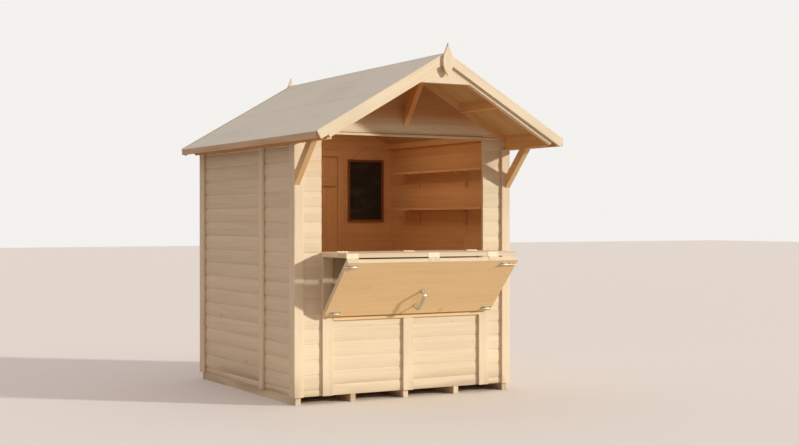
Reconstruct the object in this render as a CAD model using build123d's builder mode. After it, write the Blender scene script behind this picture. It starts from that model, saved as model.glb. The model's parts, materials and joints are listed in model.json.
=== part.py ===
from build123d import *
import os
from math import cos, radians, sin, tan

# A small wooden market stall: a panel-built hut under a gable roof that reaches out over the
# serving side, with a fold-down counter leaf and a framed flap under it. Millimetres. The origin
# lies on the ground under the middle of the hut, +X is the customer's right, +Y points to the
# back and +Z up.

os.makedirs("parts", exist_ok=True)

# Body of the hut, over its corner boards
body_width = 2000
body_depth = 2050
trim_thickness = 20
timber = 45
wall_thickness = timber - trim_thickness
wall_top = 2031
lintel_rise = 79

# Floor
bearer_height = 62
bearer_count = 5
bearer_end_setback = 6
deck_thickness = 20

# Serving opening and front wall
opening_left = -757
opening_right = 745
front_trim_width = 90
front_trim_pitch = 724
counter_underside = 1150
ledge_clearance = 7
ledge_height = 26
ledge_depth = 24
lintel_strip_height = 18
lintel_strip_depth = 12

# Side and corner trim
corner_front_leg = 78
corner_side_leg = 100
side_trim_width = 78
side_cover_y = -368

# Roof
roof_pitch = 30
eave_reach = 107
front_reach = 623
rear_reach = 186
verge_stand = 4
felt_thickness = 3
roof_board = 19
bargeboard_width = 72
verge_rafter_depth = 75
verge_rafter_end = 26
fascia_height = 48
eave_purlin_depth = 90
mid_purlin_depth = 77
mid_purlin_x = 513
ridge_purlin_depth = 108
wall_plate_depth = 25
rake_trim_width = 55
gusset_depth = 126
finial_height = 253
finial_width = 90
finial_rise = 67
finial_shoulder = 76
finial_shoulder_width = 61
finial_waist = 38
finial_waist_width = 26
finial_belly = 132

# Struts under the roof overhang
side_strut_drop = 323
side_strut_pitch = 46
side_strut_depth = 70
ridge_strut_drop = 402
ridge_strut_pitch = 52
ridge_strut_depth = 70

# Counter leaf, sill and flap
counter_thickness = 34
counter_reach = 417
hatch_width = 1540
hatch_centre = 5
sill_depth = 240
sill_nose = 37
leaf_gap = 6
flap_tilt = 44
flap_length = 597
flap_board = 18
flap_batten = 22
flap_rail_width = 70
flap_joint = 0.5

# Butt hinges
hinge_length = 100
hinge_plate = 2
hinge_leaf_width = 30
knuckle_radius = 4.5
pin_radius = 2.5
pin_clearance = 0.3
knuckle_gap = 0.5
hinge_edge_margin = 1
sill_hinge_places = (-600, 0, 600)
flap_hinge_places = (-712, 3, 554)

# Flap furniture. A bolt's place is the middle of its plate, the end of its rod and its distance
# down the flap
bolt_length = 90
bolt_height = 38
bolt_plate = 2.5
bolt_plate_rounding = 6
bolt_rod_radius = 5
bolt_rod_clearance = 1
bolt_rod_tail = 38
bolt_barrel_radius = 8
bolt_barrel_length = 46
bolt_knob_radius = 4
bolt_knob_height = 13
bolt_knob_place = 30
bolt_upper = 42
bolt_lower = 565
bolt_places = (
    (-717, -787, bolt_upper),
    (-681, -729, bolt_lower),
    (663, 769, bolt_upper),
    (716, 775, bolt_lower),
)
handle_upper = 330
handle_lower = 500
handle_standoff = 58
handle_strap_width = 26
handle_strap = 7
handle_foot_length = 40
handle_foot = 4
handle_bend = 18
handle_x = 15

# Back door
door_left = -365
door_right = 390
door_top = 2058
door_gap = 7
door_bottom_gap = 8
door_board = 19
door_ledge_thickness = 20
door_ledge_width = 95
door_ledge_inset = 25
door_ledge_heights = (260, 1010, 1760)
door_casing_width = 45
door_casing_thickness = 20
door_stop = 15
door_strap_length = 250
door_strap_width = 34
door_pull_height = 1130
door_pull_length = 150
door_pull_standoff = 45
door_pull_inset = 70

# Shelves and the slate
shelf_depth = 150
shelf_thickness = 20
shelf_front_end = -870
shelf_back_end = 670
shelf_heights = (1528, 1865)
bracket_places = (-418, 400)
bracket_leg = 135
bracket_arm = 125
bracket_depth = 22
bracket_width = 20
bracket_chamfer = 8
slate_casing_gap = 49
slate_wall_gap = 86
slate_bottom = 1420
slate_top = 2019
slate_frame_width = 22
slate_frame_depth = 18
slate_panel_depth = 8

# Worked out from the values above
half_width = body_width / 2
half_depth = body_depth / 2
clad_x = half_width - trim_thickness
clad_y = half_depth - trim_thickness
inner_x = clad_x - wall_thickness
inner_y = clad_y - wall_thickness
slope = tan(radians(roof_pitch))
cos_pitch = cos(radians(roof_pitch))
sin_pitch = sin(radians(roof_pitch))
verge_front = -half_depth - front_reach
verge_rear = half_depth + rear_reach
roof_front = verge_front + trim_thickness
roof_rear = verge_rear - trim_thickness
purlin_front = roof_front + timber
purlin_rear = roof_rear - timber
eave_x = half_width + eave_reach
lintel_height = wall_top + lintel_rise
soffit_ridge = wall_top + eave_purlin_depth + half_width * slope
board_ridge = soffit_ridge + roof_board / cos_pitch
felt_ridge = board_ridge + felt_thickness / cos_pitch
verge_ridge = felt_ridge + verge_stand
ridge_purlin_bottom = soffit_ridge - ridge_purlin_depth
counter_top = counter_underside + counter_thickness
hatch_left = hatch_centre - hatch_width / 2
hatch_right = hatch_centre + hatch_width / 2
flap_thickness = flap_board + flap_batten

# The counter leaf turns about the sill hinges, the flap about hinges on the leaf's front edge
sill_front = -clad_y - sill_nose
sill_back = sill_front + sill_depth
sill_axis_y = sill_front - leaf_gap / 2
sill_axis_z = counter_top + knuckle_radius
leaf_back = sill_front - leaf_gap
leaf_front = -half_depth - counter_reach
flap_axis_y = leaf_front - leaf_gap / 2
flap_axis_z = counter_underside - knuckle_radius
flap_sin = sin(radians(flap_tilt))
flap_cos = cos(radians(flap_tilt))
flap_head = leaf_gap / 2
flap_foot = flap_head + flap_length
hidden_face = knuckle_radius
batten_face = hidden_face + flap_batten
outer_face = batten_face + flap_board
flap_low_z = flap_axis_z - flap_foot * flap_cos - outer_face * flap_sin
ledge_top = flap_low_z - ledge_clearance
ledge_bottom = ledge_top - ledge_height

LOW = (Align.CENTER, Align.CENTER, Align.MIN)


def soffit(x):
    """Height of the roof boards' underside at a distance x from the ridge."""
    return soffit_ridge - abs(x) * slope


def block(x, y, z, mode=Mode.ADD):
    """Add a straight-sided timber between two corners to the piece being built."""
    with Locations(((x[0] + x[1]) / 2, (y[0] + y[1]) / 2, z[0])):
        Box(x[1] - x[0], y[1] - y[0], z[1] - z[0], align=LOW, mode=mode)


def across(points, front, back, mode=Mode.ADD):
    """Add a board with its outline in the XZ plane, between its front and back faces."""
    with BuildSketch(Plane.XZ.offset(-back)) as outline:
        with BuildLine():
            Polyline(*points, close=True)
        make_face()
    extrude(outline.sketch, amount=back - front, mode=mode)


def along(points, left, right, mode=Mode.ADD):
    """Add a timber with its outline in the YZ plane, between its left and right faces."""
    with BuildSketch(Plane.YZ.offset(left)) as outline:
        with BuildLine():
            Polyline(*points, close=True)
        make_face()
    extrude(outline.sketch, amount=right - left, mode=mode)


# Five bearers run from front to back and carry the hut
bearer_pitch = (2 * clad_x - timber) / (bearer_count - 1)
bearer_end = clad_y - bearer_end_setback
with BuildPart() as floor_bearers:
    for place in range(bearer_count):
        left = -clad_x + place * bearer_pitch
        block((left, left + timber), (-bearer_end, bearer_end), (0, bearer_height))
floor_bearers.part.label = "floor_bearers"
export_step(floor_bearers.part, "parts/floor_bearers.step")

deck_top = bearer_height + deck_thickness
with BuildPart() as floor_deck:
    block((-inner_x, inner_x), (-inner_y, inner_y), (bearer_height, deck_top))
    block((door_left, door_right), (inner_y, clad_y), (bearer_height, deck_top))
floor_deck.part.label = "floor_deck"
export_step(floor_deck.part, "parts/floor_deck.step")

for side, name in ((-1, "left"), (1, "right")):
    x_span = sorted((side * inner_x, side * clad_x))
    with BuildPart() as side_wall:
        block(x_span, (-inner_y, inner_y), (bearer_height, wall_top))
    side_wall.part.label = f"{name}_wall"
    export_step(side_wall.part, f"parts/{name}_wall.step")

# Front and back wall panels of full height, notched at the top for the eave purlins
panels = (
    ("front_wall_piers", opening_left, opening_right, -clad_y, -inner_y),
    ("back_wall_panels", door_left, door_right, inner_y, clad_y),
)
for name, gap_left, gap_right, front, back in panels:
    with BuildPart() as wall_panels:
        for outer, inner in ((-1, gap_left), (1, gap_right)):
            lower_span = sorted((outer * clad_x, inner))
            upper_span = sorted((outer * inner_x, inner))
            block(lower_span, (front, back), (bearer_height, wall_top))
            block(upper_span, (front, back), (wall_top, lintel_height))
    wall_panels.part.label = name
    export_step(wall_panels.part, f"parts/{name}.step")

with BuildPart() as front_lower_wall:
    block(
        (opening_left, opening_right), (-clad_y, -inner_y), (bearer_height, counter_underside)
    )
front_lower_wall.part.label = "front_lower_wall"
export_step(front_lower_wall.part, "parts/front_lower_wall.step")


def gable_outline():
    """Outline of a gable above the lintel line, clear of the eave purlins."""
    return [
        (-inner_x, lintel_height),
        (inner_x, lintel_height),
        (inner_x, soffit(inner_x)),
        (0, soffit_ridge),
        (-inner_x, soffit(inner_x)),
    ]


def purlin_notches(front, back):
    """Cut the ridge purlin and the two mid purlins out of a gable."""
    block(
        (-timber / 2, timber / 2), (front, back), (ridge_purlin_bottom, soffit_ridge), Mode.SUBTRACT
    )
    mid_bottom = soffit(mid_purlin_x) - mid_purlin_depth
    for side in (-1, 1):
        x_span = sorted((side * mid_purlin_x, side * (mid_purlin_x + timber)))
        block(x_span, (front, back), (mid_bottom, soffit_ridge), Mode.SUBTRACT)


with BuildPart() as front_gable:
    across(gable_outline(), -clad_y, -inner_y)
    purlin_notches(-clad_y, -inner_y)
front_gable.part.label = "front_gable"
export_step(front_gable.part, "parts/front_gable.step")

with BuildPart() as rear_gable:
    across(gable_outline(), inner_y, clad_y)
    block((door_left, door_right), (inner_y, clad_y), (door_top, lintel_height))
    purlin_notches(inner_y, clad_y)
rear_gable.part.label = "rear_gable"
export_step(rear_gable.part, "parts/rear_gable.step")

# Corner boards, an angle of two boards on each corner
with BuildPart() as corner_boards:
    for end in (-1, 1):
        y_face = sorted((end * clad_y, end * half_depth))
        y_leg = sorted((end * (half_depth - corner_side_leg), end * half_depth))
        block((half_width - corner_front_leg, half_width), y_face, (bearer_height, wall_top))
        block((clad_x, half_width), y_leg, (bearer_height, wall_top))
    mirror(about=Plane.YZ)
corner_boards.part.label = "corner_boards"
export_step(corner_boards.part, "parts/corner_boards.step")

with BuildPart() as side_cover_boards:
    half_trim = side_trim_width / 2
    block(
        (clad_x, half_width),
        (side_cover_y - half_trim, side_cover_y + half_trim),
        (bearer_height, wall_top),
    )
    mirror(about=Plane.YZ)
side_cover_boards.part.label = "side_cover_boards"
export_step(side_cover_boards.part, "parts/side_cover_boards.step")

# Front cover boards: the outer two run up to the counter, the middle one stops under the ledge
middle_cover_left = opening_left + front_trim_pitch
right_cover_left = middle_cover_left + front_trim_pitch
front_covers = (
    (opening_left, counter_underside),
    (middle_cover_left, ledge_bottom),
    (right_cover_left, counter_underside),
)
with BuildPart() as front_cover_boards:
    for left, top in front_covers:
        block((left, left + front_trim_width), (-half_depth, -clad_y), (bearer_height, top))
front_cover_boards.part.label = "front_cover_boards"
export_step(front_cover_boards.part, "parts/front_cover_boards.step")

with BuildPart() as hatch_ledge:
    block(
        (opening_left + front_trim_width, right_cover_left),
        (-clad_y - ledge_depth, -clad_y),
        (ledge_bottom, ledge_top),
    )
hatch_ledge.part.label = "hatch_ledge"
export_step(hatch_ledge.part, "parts/hatch_ledge.step")

with BuildPart() as lintel_strip:
    block(
        (opening_left, opening_right),
        (-clad_y - lintel_strip_depth, -clad_y),
        (lintel_height, lintel_height + lintel_strip_height),
    )
lintel_strip.part.label = "lintel_strip"
export_step(lintel_strip.part, "parts/lintel_strip.step")

# Purlins run through both gables and out to the verge rafters
with BuildPart() as ridge_purlin:
    ridge_half = timber / 2
    across(
        [
            (-ridge_half, ridge_purlin_bottom),
            (ridge_half, ridge_purlin_bottom),
            (ridge_half, soffit(ridge_half)),
            (0, soffit_ridge),
            (-ridge_half, soffit(ridge_half)),
        ],
        purlin_front,
        purlin_rear,
    )
ridge_purlin.part.label = "ridge_purlin"
export_step(ridge_purlin.part, "parts/ridge_purlin.step")


def slope_timber(inner, outer, bottom):
    """Outline of a timber whose top is bevelled to the right-hand roof slope."""
    return [(inner, bottom), (outer, bottom), (outer, soffit(outer)), (inner, soffit(inner))]


with BuildPart() as mid_purlins:
    mid_bottom = soffit(mid_purlin_x) - mid_purlin_depth
    across(
        slope_timber(mid_purlin_x, mid_purlin_x + timber, mid_bottom), purlin_front, purlin_rear
    )
    mirror(about=Plane.YZ)
mid_purlins.part.label = "mid_purlins"
export_step(mid_purlins.part, "parts/mid_purlins.step")

with BuildPart() as eave_purlins:
    across(slope_timber(inner_x, half_width, wall_top), purlin_front, purlin_rear)
    mirror(about=Plane.YZ)
eave_purlins.part.label = "eave_purlins"
export_step(eave_purlins.part, "parts/eave_purlins.step")

with BuildPart() as wall_plates:
    plate_bottom = soffit(inner_x) - wall_plate_depth
    across(slope_timber(inner_x - timber, inner_x, plate_bottom), -inner_y, inner_y)
    mirror(about=Plane.YZ)
wall_plates.part.label = "wall_plates"
export_step(wall_plates.part, "parts/wall_plates.step")

# Rake trim on the front gable, under the roof boards and between the purlins
with BuildPart() as rake_trims:
    drop = rake_trim_width / cos_pitch
    for inner, outer in ((timber / 2, mid_purlin_x), (mid_purlin_x + timber, inner_x)):
        across(
            [
                (inner, soffit(inner)),
                (inner, soffit(inner) - drop),
                (outer, soffit(outer) - drop),
                (outer, soffit(outer)),
            ],
            -half_depth,
            -clad_y,
        )
    mirror(about=Plane.YZ)
rake_trims.part.label = "rake_trims"
export_step(rake_trims.part, "parts/rake_trims.step")


def strut_outline(face, foot, top, pitch, depth):
    """Outline of a strut that stands on a wall face and meets the underside of a purlin."""
    seat = depth / cos(radians(pitch))
    rise = tan(radians(pitch))
    return [
        (face, foot),
        (face, foot + seat),
        (face - (top - foot - seat) / rise, top),
        (face - (top - foot) / rise, top),
    ]


side_strut_foot = wall_top - side_strut_drop
ridge_strut_foot = ridge_purlin_bottom - ridge_strut_drop
with BuildPart() as roof_struts:
    along(
        strut_outline(
            -half_depth, side_strut_foot, wall_top, side_strut_pitch, side_strut_depth
        ),
        inner_x,
        half_width,
    )
    mirror(about=Plane.YZ)
    along(
        strut_outline(
            -clad_y, ridge_strut_foot, ridge_purlin_bottom, ridge_strut_pitch, ridge_strut_depth
        ),
        -timber / 2,
        timber / 2,
    )
roof_struts.part.label = "roof_struts"
export_step(roof_struts.part, "parts/roof_struts.step")

# Roof boards, felt and the eave fascias
fascia_inner = eave_x - trim_thickness
for side, name in ((-1, "left"), (1, "right")):
    with BuildPart() as roof_boards:
        across(
            [
                (0, soffit_ridge),
                (side * fascia_inner, soffit(fascia_inner)),
                (side * fascia_inner, board_ridge - fascia_inner * slope),
                (0, board_ridge),
            ],
            roof_front,
            roof_rear,
        )
    roof_boards.part.label = f"roof_boards_{name}"
    export_step(roof_boards.part, f"parts/roof_boards_{name}.step")

with BuildPart() as roof_felt:
    across(
        [
            (0, board_ridge),
            (eave_x, board_ridge - eave_x * slope),
            (eave_x, felt_ridge - eave_x * slope),
            (0, felt_ridge),
            (-eave_x, felt_ridge - eave_x * slope),
            (-eave_x, board_ridge - eave_x * slope),
        ],
        roof_front,
        roof_rear,
    )
roof_felt.part.label = "roof_felt"
export_step(roof_felt.part, "parts/roof_felt.step")

with BuildPart() as eave_fascias:
    fascia_top = board_ridge - eave_x * slope
    across(
        [
            (fascia_inner, fascia_top - fascia_height),
            (eave_x, fascia_top - fascia_height),
            (eave_x, fascia_top),
            (fascia_inner, board_ridge - fascia_inner * slope),
        ],
        roof_front,
        roof_rear,
    )
    mirror(about=Plane.YZ)
eave_fascias.part.label = "eave_fascias"
export_step(eave_fascias.part, "parts/eave_fascias.step")

# Bargeboards, square-cut at the eave and mitred at the ridge, one front and one rear board a side
barge_drop = bargeboard_width / cos_pitch
barge_toe_x = eave_x - bargeboard_width * sin_pitch
barge_eave_z = verge_ridge - eave_x * slope
barge_toe_z = barge_eave_z - bargeboard_width * cos_pitch
for side, name in ((-1, "left"), (1, "right")):
    with BuildPart() as bargeboards:
        for front, back in ((verge_front, roof_front), (roof_rear, verge_rear)):
            across(
                [
                    (0, verge_ridge),
                    (side * eave_x, barge_eave_z),
                    (side * barge_toe_x, barge_toe_z),
                    (0, verge_ridge - barge_drop),
                ],
                front,
                back,
            )
    bargeboards.part.label = f"bargeboards_{name}"
    export_step(bargeboards.part, f"parts/bargeboards_{name}.step")

# Verge rafters and the gusset under their joint, at each end of the roof
rafter_top_x = half_width + verge_rafter_end
rafter_toe_x = rafter_top_x - verge_rafter_depth * sin_pitch
rafter_toe_z = soffit(rafter_top_x) - verge_rafter_depth * cos_pitch
rafter_inner_ridge = soffit_ridge - verge_rafter_depth / cos_pitch
gusset_bottom = rafter_inner_ridge - gusset_depth
gusset_x = gusset_depth / slope
verge_spans = ((roof_front, purlin_front), (purlin_rear, roof_rear))
for side, name in ((-1, "left"), (1, "right")):
    with BuildPart() as verge_rafters:
        for front, back in verge_spans:
            across(
                [
                    (0, soffit_ridge),
                    (side * rafter_top_x, soffit(rafter_top_x)),
                    (side * rafter_toe_x, rafter_toe_z),
                    (0, rafter_inner_ridge),
                ],
                front,
                back,
            )
    verge_rafters.part.label = f"verge_rafters_{name}"
    export_step(verge_rafters.part, f"parts/verge_rafters_{name}.step")

with BuildPart() as verge_gussets:
    for front, back in verge_spans:
        across(
            [(0, rafter_inner_ridge), (gusset_x, gusset_bottom), (-gusset_x, gusset_bottom)],
            front,
            back,
        )
verge_gussets.part.label = "verge_gussets"
export_step(verge_gussets.part, "parts/verge_gussets.step")

# Leaf-shaped finials on the bargeboards at both ends of the ridge. Each flank is hollow below
# the tip, full at the belly, and runs to a point at the foot
finial_top = verge_ridge + finial_rise
with BuildPart() as finials:
    for front, back in (
        (verge_front - trim_thickness, verge_front),
        (verge_rear, verge_rear + trim_thickness),
    ):
        with BuildSketch(Plane.XZ.offset(-back)):
            with BuildLine():
                ThreePointArc(
                    (0, finial_top),
                    (finial_waist_width / 2, finial_top - finial_waist),
                    (finial_shoulder_width / 2, finial_top - finial_shoulder),
                )
                ThreePointArc(
                    (finial_shoulder_width / 2, finial_top - finial_shoulder),
                    (finial_width / 2, finial_top - finial_belly),
                    (0, finial_top - finial_height),
                )
                mirror(about=Plane.YZ)
            make_face()
        extrude(amount=back - front)
finials.part.label = "finials"
export_step(finials.part, "parts/finials.step")

# Fixed sill behind the fold-down counter leaf
with BuildPart() as counter_sill:
    block((opening_left, opening_right), (sill_front, sill_back), (counter_underside, counter_top))
counter_sill.part.label = "counter_sill"
export_step(counter_sill.part, "parts/counter_sill.step")

with BuildPart() as counter_leaf:
    block((hatch_left, hatch_right), (leaf_front, leaf_back), (counter_underside, counter_top))
counter_leaf.part.label = "counter_leaf"
export_step(counter_leaf.part, "parts/counter_leaf.step")

flap_plane = Plane(
    origin=(0, flap_axis_y, flap_axis_z), x_dir=(1, 0, 0), z_dir=(0, -flap_cos, -flap_sin)
)


def on_flap(x, down, out):
    """Add a timber in the flap's own frame: across, down the flap and out from its hinge line."""
    with BuildSketch(flap_plane.offset(out[0])) as outline:
        with Locations(((x[0] + x[1]) / 2, -(down[0] + down[1]) / 2)):
            Rectangle(x[1] - x[0], down[1] - down[0])
    extrude(outline.sketch, amount=out[1] - out[0])


with BuildPart() as flap_boards:
    on_flap((hatch_left, hatch_right), (flap_head, flap_foot), (batten_face, outer_face))
flap_boards.part.label = "flap_boards"
export_step(flap_boards.part, "parts/flap_boards.step")

with BuildPart() as flap_battens:
    for top in (flap_head, flap_foot - flap_rail_width):
        on_flap((hatch_left, hatch_right), (top, top + flap_rail_width), (hidden_face, batten_face))
    stile_top = flap_head + flap_rail_width + flap_joint
    stile_foot = flap_foot - flap_rail_width - flap_joint
    for left in (hatch_left, hatch_centre - flap_rail_width / 2, hatch_right - flap_rail_width):
        on_flap((left, left + flap_rail_width), (stile_top, stile_foot), (hidden_face, batten_face))
flap_battens.part.label = "flap_battens"
export_step(flap_battens.part, "parts/flap_battens.step")


def hinge_half(places, leaf_plane, fixed, seat, width):
    """Add one half of a row of butt hinges. The plane's origin is on the pin, its X runs along
    the pin, its Y along the plate and its Z away from the face that the plate lies on."""
    third = hinge_length / 3
    if fixed:
        knuckles = ((-hinge_length / 2, -third / 2), (third / 2, hinge_length / 2))
    else:
        knuckles = ((-third / 2 + knuckle_gap, third / 2 - knuckle_gap),)
    clear = knuckle_radius + knuckle_gap
    for place in places:
        with Locations(leaf_plane):
            with Locations((place, clear, -seat)):
                Box(hinge_length, width, hinge_plate, align=(Align.CENTER, Align.MIN, Align.MIN))
            for left, right in knuckles:
                middle = place + (left + right) / 2
                with Locations((middle, 0, -seat)):
                    Box(right - left, clear, hinge_plate, align=(Align.CENTER, Align.MIN, Align.MIN))
                with Locations((middle, 0, 0)):
                    Cylinder(knuckle_radius, right - left, rotation=(0, 90, 0))
                    if not fixed:
                        bore = pin_radius + pin_clearance
                        Cylinder(bore, right - left, rotation=(0, 90, 0), mode=Mode.SUBTRACT)
            if fixed:
                with Locations((place, 0, 0)):
                    Cylinder(pin_radius, hinge_length, rotation=(0, 90, 0))


sill_pin = (0, sill_axis_y, sill_axis_z)
sill_side = Plane(origin=sill_pin, x_dir=(1, 0, 0), z_dir=(0, 0, 1))
leaf_side = Plane(origin=sill_pin, x_dir=(-1, 0, 0), z_dir=(0, 0, 1))
door_pin = (door_left + door_gap / 2, clad_y + knuckle_radius, 0)
door_side = Plane(origin=door_pin, x_dir=(0, 0, 1), z_dir=(0, 1, 0))
jamb_side = Plane(origin=door_pin, x_dir=(0, 0, -1), z_dir=(0, 1, 0))
door_hinge_heights = [height + door_ledge_width / 2 for height in door_ledge_heights]
with BuildPart() as fixed_hinge_plates:
    hinge_half(sill_hinge_places, sill_side, True, knuckle_radius, hinge_leaf_width)
    hinge_half([-height for height in door_hinge_heights], jamb_side, True, knuckle_radius,
               hinge_leaf_width)
fixed_hinge_plates.part.label = "fixed_hinge_plates"
export_step(fixed_hinge_plates.part, "parts/fixed_hinge_plates.step")

# On the leaf: the moving halves of the sill hinges, and the fixed halves of the flap hinges
flap_pin = (0, flap_axis_y, flap_axis_z)
leaf_edge = Plane(origin=flap_pin, x_dir=(1, 0, 0), z_dir=(0, -1, 0))
flap_edge = Plane(origin=flap_pin, x_dir=(-1, 0, 0), z_dir=(0, -flap_sin, flap_cos))
with BuildPart() as leaf_hinge_plates:
    hinge_half([-place for place in sill_hinge_places], leaf_side, False, knuckle_radius,
               hinge_leaf_width)
    hinge_half(flap_hinge_places, leaf_edge, True, leaf_gap / 2,
               counter_thickness - hinge_edge_margin)
leaf_hinge_plates.part.label = "leaf_hinge_plates"
export_step(leaf_hinge_plates.part, "parts/leaf_hinge_plates.step")

with BuildPart() as flap_hinge_plates:
    hinge_half([-place for place in flap_hinge_places], flap_edge, False, leaf_gap / 2,
               flap_thickness - hinge_edge_margin)
flap_hinge_plates.part.label = "flap_hinge_plates"
export_step(flap_hinge_plates.part, "parts/flap_hinge_plates.step")

# Four barrel bolts near the flap's corners: a rounded plate, a barrel across its middle, the rod
# through it and the rod's knob on the inner side
bolt_face = flap_plane.offset(outer_face)
bolt_axis = bolt_plate + bolt_rod_clearance + bolt_rod_radius
with BuildPart() as flap_bolts:
    for middle, rod_end, down in bolt_places:
        outward = 1 if rod_end > middle else -1
        rod_start = middle - outward * bolt_rod_tail
        with BuildSketch(bolt_face):
            with Locations((middle, -down)):
                RectangleRounded(bolt_length, bolt_height, bolt_plate_rounding)
        extrude(amount=bolt_plate)
        with Locations(bolt_face):
            with Locations((middle, -down, bolt_axis)):
                Cylinder(bolt_barrel_radius, bolt_barrel_length, rotation=(0, 90, 0))
            with Locations(((rod_start + rod_end) / 2, -down, bolt_axis)):
                Cylinder(bolt_rod_radius, abs(rod_end - rod_start), rotation=(0, 90, 0))
            with Locations((middle - outward * bolt_knob_place, -down, bolt_axis)):
                Cylinder(bolt_knob_radius, bolt_knob_height, align=LOW)
flap_bolts.part.label = "flap_bolts"
export_step(flap_bolts.part, "parts/flap_bolts.step")

# Back door: a ledged leaf of boards that opens outwards on three hinges
leaf_left = door_left + door_gap
leaf_right = door_right - door_gap
leaf_bottom = deck_top + door_bottom_gap
leaf_top = door_top - door_gap
leaf_inner_y = clad_y - door_board
with BuildPart() as door_leaf:
    block((leaf_left, leaf_right), (leaf_inner_y, clad_y), (leaf_bottom, leaf_top))
    for height in door_ledge_heights:
        block(
            (leaf_left + door_ledge_inset, leaf_right - door_ledge_inset),
            (leaf_inner_y - door_ledge_thickness, leaf_inner_y),
            (height, height + door_ledge_width),
        )
door_leaf.part.label = "door_leaf"
export_step(door_leaf.part, "parts/door_leaf.step")

# The casing inside the doorway reaches past its edges, so that the leaf closes towards it
casing_span = (inner_y - door_casing_thickness, inner_y)
casing_top = door_top + door_casing_width
left_stop = door_left + door_stop
right_stop = door_right - door_stop
with BuildPart() as door_jambs:
    block((door_left - door_casing_width, left_stop), casing_span, (deck_top, casing_top))
    block((right_stop, door_right + door_casing_width), casing_span, (deck_top, casing_top))
door_jambs.part.label = "door_jambs"
export_step(door_jambs.part, "parts/door_jambs.step")

with BuildPart() as door_head:
    block((left_stop, right_stop), casing_span, (door_top - door_stop, casing_top))
door_head.part.label = "door_head"
export_step(door_head.part, "parts/door_head.step")

with BuildPart() as door_hinge_straps:
    hinge_half(door_hinge_heights, door_side, False, knuckle_radius, hinge_leaf_width)
    strap_start = knuckle_radius + hinge_leaf_width
    for height in door_hinge_heights:
        with Locations(door_side):
            with Locations((height, strap_start, -knuckle_radius)):
                Box(door_strap_width, door_strap_length, hinge_plate,
                    align=(Align.CENTER, Align.MIN, Align.MIN))
door_hinge_straps.part.label = "door_hinge_straps"
export_step(door_hinge_straps.part, "parts/door_hinge_straps.step")

# Bow handles on the flap and on the door, each a bent flat bar on two feet
door_face = Plane(origin=(0, clad_y, 0), x_dir=(-1, 0, 0), z_dir=(0, 1, 0))
pull_x = leaf_right - door_pull_inset
handles = (
    ("flap_handle", flap_plane.offset(outer_face), handle_x, -handle_upper, -handle_lower,
     handle_standoff),
    ("door_handle", door_face, -pull_x, door_pull_height + door_pull_length, door_pull_height,
     door_pull_standoff),
)
for name, surface, place, upper, lower, standoff in handles:
    side_plane = Plane(
        origin=surface.from_local_coords((place, 0, 0)), x_dir=surface.y_dir, z_dir=surface.x_dir
    )
    with BuildPart() as handle:
        with BuildSketch(surface):
            with Locations((place, upper), (place, lower)):
                Rectangle(handle_strap_width, handle_foot_length)
        extrude(amount=handle_foot)
        with BuildLine(side_plane) as grip_path:
            FilletPolyline(
                (upper, 0),
                (upper, standoff),
                (lower, standoff),
                (lower, 0),
                radius=handle_bend,
            )
        with BuildSketch(surface):
            with Locations((place, upper)):
                Rectangle(handle_strap_width, handle_strap)
        sweep(path=grip_path.line)
    handle.part.label = name
    export_step(handle.part, f"parts/{name}.step")

# Shelves on angle brackets along the right-hand wall, and a framed slate on the back wall
with BuildPart() as wall_shelves:
    for height in shelf_heights:
        block(
            (inner_x - shelf_depth, inner_x),
            (shelf_front_end, shelf_back_end),
            (height, height + shelf_thickness),
        )
wall_shelves.part.label = "wall_shelves"
export_step(wall_shelves.part, "parts/wall_shelves.step")

with BuildPart() as shelf_brackets:
    for height in shelf_heights:
        for middle in bracket_places:
            across(
                [
                    (inner_x, height - bracket_leg),
                    (inner_x, height),
                    (inner_x - bracket_arm, height),
                    (inner_x - bracket_arm, height - bracket_depth + bracket_chamfer),
                    (inner_x - bracket_arm + bracket_chamfer, height - bracket_depth),
                    (inner_x - bracket_depth, height - bracket_depth),
                    (inner_x - bracket_depth, height - bracket_leg + bracket_chamfer),
                    (inner_x - bracket_depth + bracket_chamfer, height - bracket_leg),
                ],
                middle - bracket_width / 2,
                middle + bracket_width / 2,
            )
shelf_brackets.part.label = "shelf_brackets"
export_step(shelf_brackets.part, "parts/shelf_brackets.step")

slate_left = door_right + door_casing_width + slate_casing_gap
slate_right = inner_x - slate_wall_gap
slate_front = inner_y - slate_frame_depth
slate_inner =(slate_left + slate_frame_width, slate_right - slate_frame_width)
slate_opening = (slate_bottom + slate_frame_width, slate_top - slate_frame_width)
with BuildPart() as wall_slate:
    block((slate_left, slate_right), (slate_front, inner_y), (slate_bottom, slate_top))
    block(
        slate_inner, (slate_front, inner_y - slate_panel_depth), slate_opening, Mode.SUBTRACT
    )
wall_slate.part.label = "wall_slate"
export_step(wall_slate.part, "parts/wall_slate.step")
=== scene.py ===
# %% [markdown]
# # A wooden market stall
# This lesson dresses a small hut of planed softwood: board walls, a felted gable roof that
# reaches out over the serving side, and a fold-down counter with a flap under it. The packed
# model is loaded first and stays fixed. Whatever has the right outline already is kept and only
# gets a finish, and every surface that is really many boards is laid again board by board.

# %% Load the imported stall
import json
import math
import random

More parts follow.
